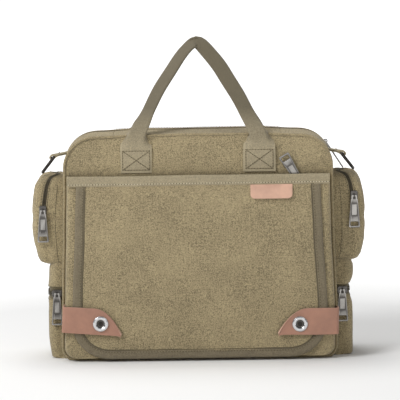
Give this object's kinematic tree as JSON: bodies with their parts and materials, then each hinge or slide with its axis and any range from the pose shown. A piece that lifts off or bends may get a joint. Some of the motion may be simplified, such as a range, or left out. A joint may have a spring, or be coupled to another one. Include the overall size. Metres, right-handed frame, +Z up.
{
  "type": "messenger bag",
  "caption": "Canvas messenger bag with a flap on leather snap tabs, a zipped top, zipped side pockets, two webbing handles and strap rings.",
  "frame": {"origin": "middle of the footprint on the floor", "axes": "+X to the right as seen from the front, -Y the front with the flap, +Z up"},
  "size_m": [0.4008, 0.1346, 0.387],
  "materials": {
    "canvas": "washed cotton canvas, plain weave",
    "webbing": "grey-olive cotton webbing and tape",
    "leather": "smooth leather with raw edges",
    "label_leather": "smooth pale leather",
    "lining": "plain polyester lining",
    "zip_tape": "coil zipper on woven tape",
    "gunmetal": "gunmetal plate",
    "snap_metal": "nickel plate",
    "board": "polypropylene sheet"
  },
  "bodies": {
    "bag": {"main_front_panel": "canvas", "back_panel": "canvas", "base_panel": "canvas", "left_gusset": "canvas", "right_gusset": "canvas", "main_zip_ends": "zip_tape", "front_piping": "webbing", "back_piping": "webbing", "lining": "lining", "base_board": "board", "laptop_divider": "lining", "front_pocket_panel": "canvas", "front_pocket_gusset": "canvas", "front_pocket_band": "webbing", "front_zip": "zip_tape", "front_handle_ends": "webbing", "back_handle_ends": "webbing", "lower_zips": "zip_tape", "ring_loops": "webbing", "left_upper_pocket": "canvas", "left_upper_zip_inner": "zip_tape", "left_lower_pocket": "canvas", "left_lower_cover": "canvas", "right_upper_pocket": "canvas", "right_upper_zip_inner": "zip_tape", "right_lower_pocket": "canvas", "right_lower_cover": "canvas"},
    "flap": {"flap_panel": "canvas", "flap_binding": "webbing", "leather_label": "label_leather", "snap_studs": "snap_metal"},
    "front_handle": {"front_handle": "webbing"},
    "back_handle": {"back_handle": "webbing"},
    "top_front": {"top_panel_front": "canvas", "main_zip_front": "zip_tape"},
    "top_back": {"top_panel_back": "canvas", "main_zip_back": "zip_tape"},
    "main_slider": {"main_slider": "gunmetal"},
    "main_pull": {"main_pull": "gunmetal"},
    "front_slider": {"front_slider": "gunmetal"},
    "front_pull": {"front_pull": "gunmetal"},
    "left_tab": {"left_tab": "leather", "left_tab_snap": "snap_metal"},
    "left_lid": {"left_upper_lid": "canvas", "left_upper_zip_outer": "zip_tape"},
    "left_ring": {"left_ring": "gunmetal"},
    "left_upper_slider": {"left_upper_slider": "gunmetal"},
    "left_upper_pull": {"left_upper_pull": "gunmetal"},
    "left_lower_slider": {"left_lower_slider": "gunmetal"},
    "left_lower_pull": {"left_lower_pull": "gunmetal"},
    "right_tab": {"right_tab": "leather", "right_tab_snap": "snap_metal"},
    "right_lid": {"right_upper_lid": "canvas", "right_upper_zip_outer": "zip_tape"},
    "right_ring": {"right_ring": "gunmetal"},
    "right_upper_slider": {"right_upper_slider": "gunmetal"},
    "right_upper_pull": {"right_upper_pull": "gunmetal"},
    "right_lower_slider": {"right_lower_slider": "gunmetal"},
    "right_lower_pull": {"right_lower_pull": "gunmetal"}
  },
  "joints": [
    {"name": "flap_hinge", "type": "hinge", "parent": "bag", "child": "flap", "pos_m": [0, -0.0613, 0.2102], "axis": [-1, 0, 0], "range_deg": [0, 150]},
    {"name": "front_handle_hinge", "type": "hinge", "parent": "bag", "child": "front_handle", "pos_m": [0, -0.0485, 0.272], "axis": [-1, 0, 0], "range_deg": [-180, 0]},
    {"name": "back_handle_hinge", "type": "hinge", "parent": "bag", "child": "back_handle", "pos_m": [0, 0.065, 0.272], "axis": [-1, 0, 0], "range_deg": [0, 180]},
    {"name": "top_front_hinge", "type": "hinge", "parent": "bag", "child": "top_front", "pos_m": [0, -0.0407, 0.268], "axis": [1, 0, 0], "range_deg": [0, 60]},
    {"name": "top_back_hinge", "type": "hinge", "parent": "bag", "child": "top_back", "pos_m": [0, 0.0572, 0.268], "axis": [-1, 0, 0], "range_deg": [0, 60]},
    {"name": "main_slider_turn", "type": "hinge", "parent": "bag", "child": "main_slider", "pos_m": [0.11984, 0.00825, 0.23], "axis": [0, -1, 0], "range_deg": [0, 50]},
    {"name": "main_pull_hinge", "type": "hinge", "parent": "main_slider", "child": "main_pull", "pos_m": [0.15443, 0.00825, 0.25513], "axis": [0, -1, 0], "range_deg": [0, 120]},
    {"name": "front_slider_slide", "type": "slide", "parent": "bag", "child": "front_slider", "axis": [1, 0, 0], "range_m": [-0.23, 0.003]},
    {"name": "front_pull_hinge", "type": "hinge", "parent": "front_slider", "child": "front_pull", "pos_m": [0.121, -0.04975, 0.21065], "axis": [0.8572, 0, 0.515], "range_deg": [-4, 18]},
    {"name": "left_tab_hinge", "type": "hinge", "parent": "bag", "child": "left_tab", "pos_m": [-0.164, -0.063, 0.046], "axis": [0, 0, -1], "range_deg": [0, 160]},
    {"name": "left_lid_hinge", "type": "hinge", "parent": "bag", "child": "left_lid", "pos_m": [-0.2004, 0.01, 0.168], "axis": [0, -1, 0], "range_deg": [0, 75]},
    {"name": "left_ring_hinge", "type": "hinge", "parent": "bag", "child": "left_ring", "pos_m": [-0.172, -0.014, 0.242], "axis": [0, 1, 0], "range_deg": [0, 110]},
    {"name": "left_upper_slider_slide", "type": "slide", "parent": "bag", "child": "left_upper_slider", "axis": [0, 0, 1], "range_m": [0, 0.024]},
    {"name": "left_upper_pull_hinge", "type": "hinge", "parent": "left_upper_slider", "child": "left_upper_pull", "pos_m": [-0.186, -0.03255, 0.179], "axis": [-1, 0, 0], "range_deg": [0, 150]},
    {"name": "left_lower_slider_turn", "type": "hinge", "parent": "bag", "child": "left_lower_slider", "pos_m": [-0.171, -0.018, 0.079], "axis": [0, 0, -1], "range_deg": [0, 90]},
    {"name": "left_lower_pull_hinge", "type": "hinge", "parent": "left_lower_slider", "child": "left_lower_pull", "pos_m": [-0.171, -0.03255, 0.079], "axis": [-1, 0, 0], "range_deg": [0, 150]},
    {"name": "right_tab_hinge", "type": "hinge", "parent": "bag", "child": "right_tab", "pos_m": [0.164, -0.063, 0.046], "axis": [0, 0, 1], "range_deg": [0, 160]},
    {"name": "right_lid_hinge", "type": "hinge", "parent": "bag", "child": "right_lid", "pos_m": [0.2004, 0.01, 0.168], "axis": [0, 1, 0], "range_deg": [0, 75]},
    {"name": "right_ring_hinge", "type": "hinge", "parent": "bag", "child": "right_ring", "pos_m": [0.172, -0.014, 0.242], "axis": [0, -1, 0], "range_deg": [0, 110]},
    {"name": "right_upper_slider_slide", "type": "slide", "parent": "bag", "child": "right_upper_slider", "axis": [0, 0, 1], "range_m": [0, 0.014]},
    {"name": "right_upper_pull_hinge", "type": "hinge", "parent": "right_upper_slider", "child": "right_upper_pull", "pos_m": [0.186, -0.03255, 0.192], "axis": [-1, 0, 0], "range_deg": [0, 150]},
    {"name": "right_lower_slider_turn", "type": "hinge", "parent": "bag", "child": "right_lower_slider", "pos_m": [0.171, -0.018, 0.079], "axis": [0, 0, 1], "range_deg": [0, 90]},
    {"name": "right_lower_pull_hinge", "type": "hinge", "parent": "right_lower_slider", "child": "right_lower_pull", "pos_m": [0.171, -0.03255, 0.079], "axis": [-1, 0, 0], "range_deg": [0, 150]}
  ],
  "couplings": [
    {"joint": "top_back_hinge", "follows": "top_front_hinge", "ratio": 1}
  ]
}
